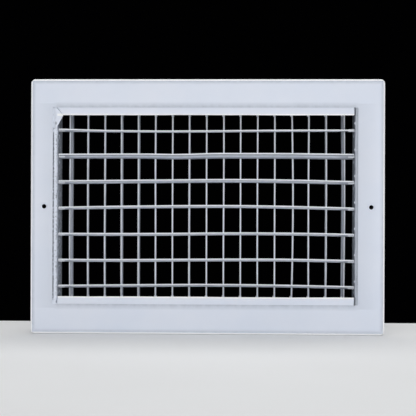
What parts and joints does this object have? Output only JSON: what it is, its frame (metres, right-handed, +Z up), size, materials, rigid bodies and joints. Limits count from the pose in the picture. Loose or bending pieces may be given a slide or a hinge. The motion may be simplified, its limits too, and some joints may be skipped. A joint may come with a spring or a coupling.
{
  "type": "louvred air grille",
  "caption": "Pressed-steel louvred supply air grille: a flat face plate around level front blades and upright rear blades, each turning on its own end pins.",
  "frame": {"origin": "middle of the face plate's outline, in the wall plane that its rim rests on; the two screw holes are level with it, one each side", "axes": "+X to the right along the front blades, +Y into the wall and duct, +Z up along the rear blades"},
  "size_m": [0.354, 0.0348, 0.255],
  "materials": {
    "face_paint": "satin cool white enamel",
    "rail_paint": "satin cool white enamel, thinner inside the core",
    "blade_paint": "satin cool white enamel",
    "spring_steel": "plain spring steel",
    "rivet_steel": "plain zinc-coated steel"
  },
  "bodies": {
    "frame": {"face_plate": "face_paint", "top_rail": "rail_paint", "bottom_rail": "rail_paint", "left_rail": "rail_paint", "right_rail": "rail_paint", "top_spring_strip": "spring_steel", "bottom_spring_strip": "spring_steel", "left_spring_strip": "spring_steel", "right_spring_strip": "spring_steel", "corner_rivets": "rivet_steel", "spring_rivets": "rivet_steel"},
    "front_blade_1": {"front_blade_1": "blade_paint"},
    "front_blade_2": {"front_blade_2": "blade_paint"},
    "front_blade_3": {"front_blade_3": "blade_paint"},
    "front_blade_4": {"front_blade_4": "blade_paint"},
    "front_blade_5": {"front_blade_5": "blade_paint"},
    "front_blade_6": {"front_blade_6": "blade_paint"},
    "front_blade_7": {"front_blade_7": "blade_paint"},
    "rear_blade_01": {"rear_blade_01": "blade_paint"},
    "rear_blade_02": {"rear_blade_02": "blade_paint"},
    "rear_blade_03": {"rear_blade_03": "blade_paint"},
    "rear_blade_04": {"rear_blade_04": "blade_paint"},
    "rear_blade_05": {"rear_blade_05": "blade_paint"},
    "rear_blade_06": {"rear_blade_06": "blade_paint"},
    "rear_blade_07": {"rear_blade_07": "blade_paint"},
    "rear_blade_08": {"rear_blade_08": "blade_paint"},
    "rear_blade_09": {"rear_blade_09": "blade_paint"},
    "rear_blade_10": {"rear_blade_10": "blade_paint"},
    "rear_blade_11": {"rear_blade_11": "blade_paint"},
    "rear_blade_12": {"rear_blade_12": "blade_paint"},
    "rear_blade_13": {"rear_blade_13": "blade_paint"},
    "rear_blade_14": {"rear_blade_14": "blade_paint"},
    "rear_blade_15": {"rear_blade_15": "blade_paint"},
    "rear_blade_16": {"rear_blade_16": "blade_paint"},
    "rear_blade_17": {"rear_blade_17": "blade_paint"}
  },
  "joints": [
    {"name": "front_blade_1_turn", "type": "hinge", "parent": "frame", "child": "front_blade_1", "pos_m": [-0.0015, 0.005, 0.0771], "axis": [1, 0, 0], "range_deg": [-43.8, 46.2]},
    {"name": "front_blade_2_turn", "type": "hinge", "parent": "frame", "child": "front_blade_2", "pos_m": [-0.0015, 0.005, 0.0508], "axis": [1, 0, 0], "range_deg": [-29.8, 60.2]},
    {"name": "front_blade_3_turn", "type": "hinge", "parent": "frame", "child": "front_blade_3", "pos_m": [-0.0015, 0.005, 0.0245], "axis": [1, 0, 0], "range_deg": [-34.8, 55.2]},
    {"name": "front_blade_4_turn", "type": "hinge", "parent": "frame", "child": "front_blade_4", "pos_m": [-0.0015, 0.005, -0.0018], "axis": [1, 0, 0], "range_deg": [-36.5, 53.5]},
    {"name": "front_blade_5_turn", "type": "hinge", "parent": "frame", "child": "front_blade_5", "pos_m": [-0.0015, 0.005, -0.0281], "axis": [1, 0, 0], "range_deg": [-35.4, 54.6]},
    {"name": "front_blade_6_turn", "type": "hinge", "parent": "frame", "child": "front_blade_6", "pos_m": [-0.0015, 0.005, -0.0544], "axis": [1, 0, 0], "range_deg": [-34.4, 55.6]},
    {"name": "front_blade_7_turn", "type": "hinge", "parent": "frame", "child": "front_blade_7", "pos_m": [-0.0015, 0.005, -0.0807], "axis": [1, 0, 0], "range_deg": [-33.5, 56.5]},
    {"name": "rear_blade_01_turn", "type": "hinge", "parent": "frame", "child": "rear_blade_01", "pos_m": [-0.13974, 0.0209, 0.0008], "axis": [0, 0, 1], "range_deg": [-34, 56]},
    {"name": "rear_blade_02_turn", "type": "hinge", "parent": "frame", "child": "rear_blade_02", "pos_m": [-0.12246, 0.0209, 0.0008], "axis": [0, 0, 1], "range_deg": [-45, 45]},
    {"name": "rear_blade_03_turn", "type": "hinge", "parent": "frame", "child": "rear_blade_03", "pos_m": [-0.10518, 0.0209, 0.0008], "axis": [0, 0, 1], "range_deg": [-45, 45]},
    {"name": "rear_blade_04_turn", "type": "hinge", "parent": "frame", "child": "rear_blade_04", "pos_m": [-0.0879, 0.0209, 0.0008], "axis": [0, 0, 1], "range_deg": [-40.8, 49.2]},
    {"name": "rear_blade_05_turn", "type": "hinge", "parent": "frame", "child": "rear_blade_05", "pos_m": [-0.07062, 0.0209, 0.0008], "axis": [0, 0, 1], "range_deg": [-40.1, 49.9]},
    {"name": "rear_blade_06_turn", "type": "hinge", "parent": "frame", "child": "rear_blade_06", "pos_m": [-0.05334, 0.0209, 0.0008], "axis": [0, 0, 1], "range_deg": [-43.8, 46.2]},
    {"name": "rear_blade_07_turn", "type": "hinge", "parent": "frame", "child": "rear_blade_07", "pos_m": [-0.03606, 0.0209, 0.0008], "axis": [0, 0, 1], "range_deg": [-44.5, 45.5]},
    {"name": "rear_blade_08_turn", "type": "hinge", "parent": "frame", "child": "rear_blade_08", "pos_m": [-0.01878, 0.0209, 0.0008], "axis": [0, 0, 1], "range_deg": [-41, 49]},
    {"name": "rear_blade_09_turn", "type": "hinge", "parent": "frame", "child": "rear_blade_09", "pos_m": [-0.0015, 0.0209, 0.0008], "axis": [0, 0, 1], "range_deg": [-44, 46]},
    {"name": "rear_blade_10_turn", "type": "hinge", "parent": "frame", "child": "rear_blade_10", "pos_m": [0.01578, 0.0209, 0.0008], "axis": [0, 0, 1], "range_deg": [-44.5, 45.5]},
    {"name": "rear_blade_11_turn", "type": "hinge", "parent": "frame", "child": "rear_blade_11", "pos_m": [0.03306, 0.0209, 0.0008], "axis": [0, 0, 1], "range_deg": [-43.7, 46.3]},
    {"name": "rear_blade_12_turn", "type": "hinge", "parent": "frame", "child": "rear_blade_12", "pos_m": [0.05034, 0.0209, 0.0008], "axis": [0, 0, 1], "range_deg": [-44.5, 45.5]},
    {"name": "rear_blade_13_turn", "type": "hinge", "parent": "frame", "child": "rear_blade_13", "pos_m": [0.06762, 0.0209, 0.0008], "axis": [0, 0, 1], "range_deg": [-43.5, 46.5]},
    {"name": "rear_blade_14_turn", "type": "hinge", "parent": "frame", "child": "rear_blade_14", "pos_m": [0.0849, 0.0209, 0.0008], "axis": [0, 0, 1], "range_deg": [-44, 46]},
    {"name": "rear_blade_15_turn", "type": "hinge", "parent": "frame", "child": "rear_blade_15", "pos_m": [0.10218, 0.0209, 0.0008], "axis": [0, 0, 1], "range_deg": [-43.5, 46.5]},
    {"name": "rear_blade_16_turn", "type": "hinge", "parent": "frame", "child": "rear_blade_16", "pos_m": [0.11946, 0.0209, 0.0008], "axis": [0, 0, 1], "range_deg": [-44.5, 45.5]},
    {"name": "rear_blade_17_turn", "type": "hinge", "parent": "frame", "child": "rear_blade_17", "pos_m": [0.13674, 0.0209, 0.0008], "axis": [0, 0, 1], "range_deg": [-53.5, 36.5]}
  ]
}
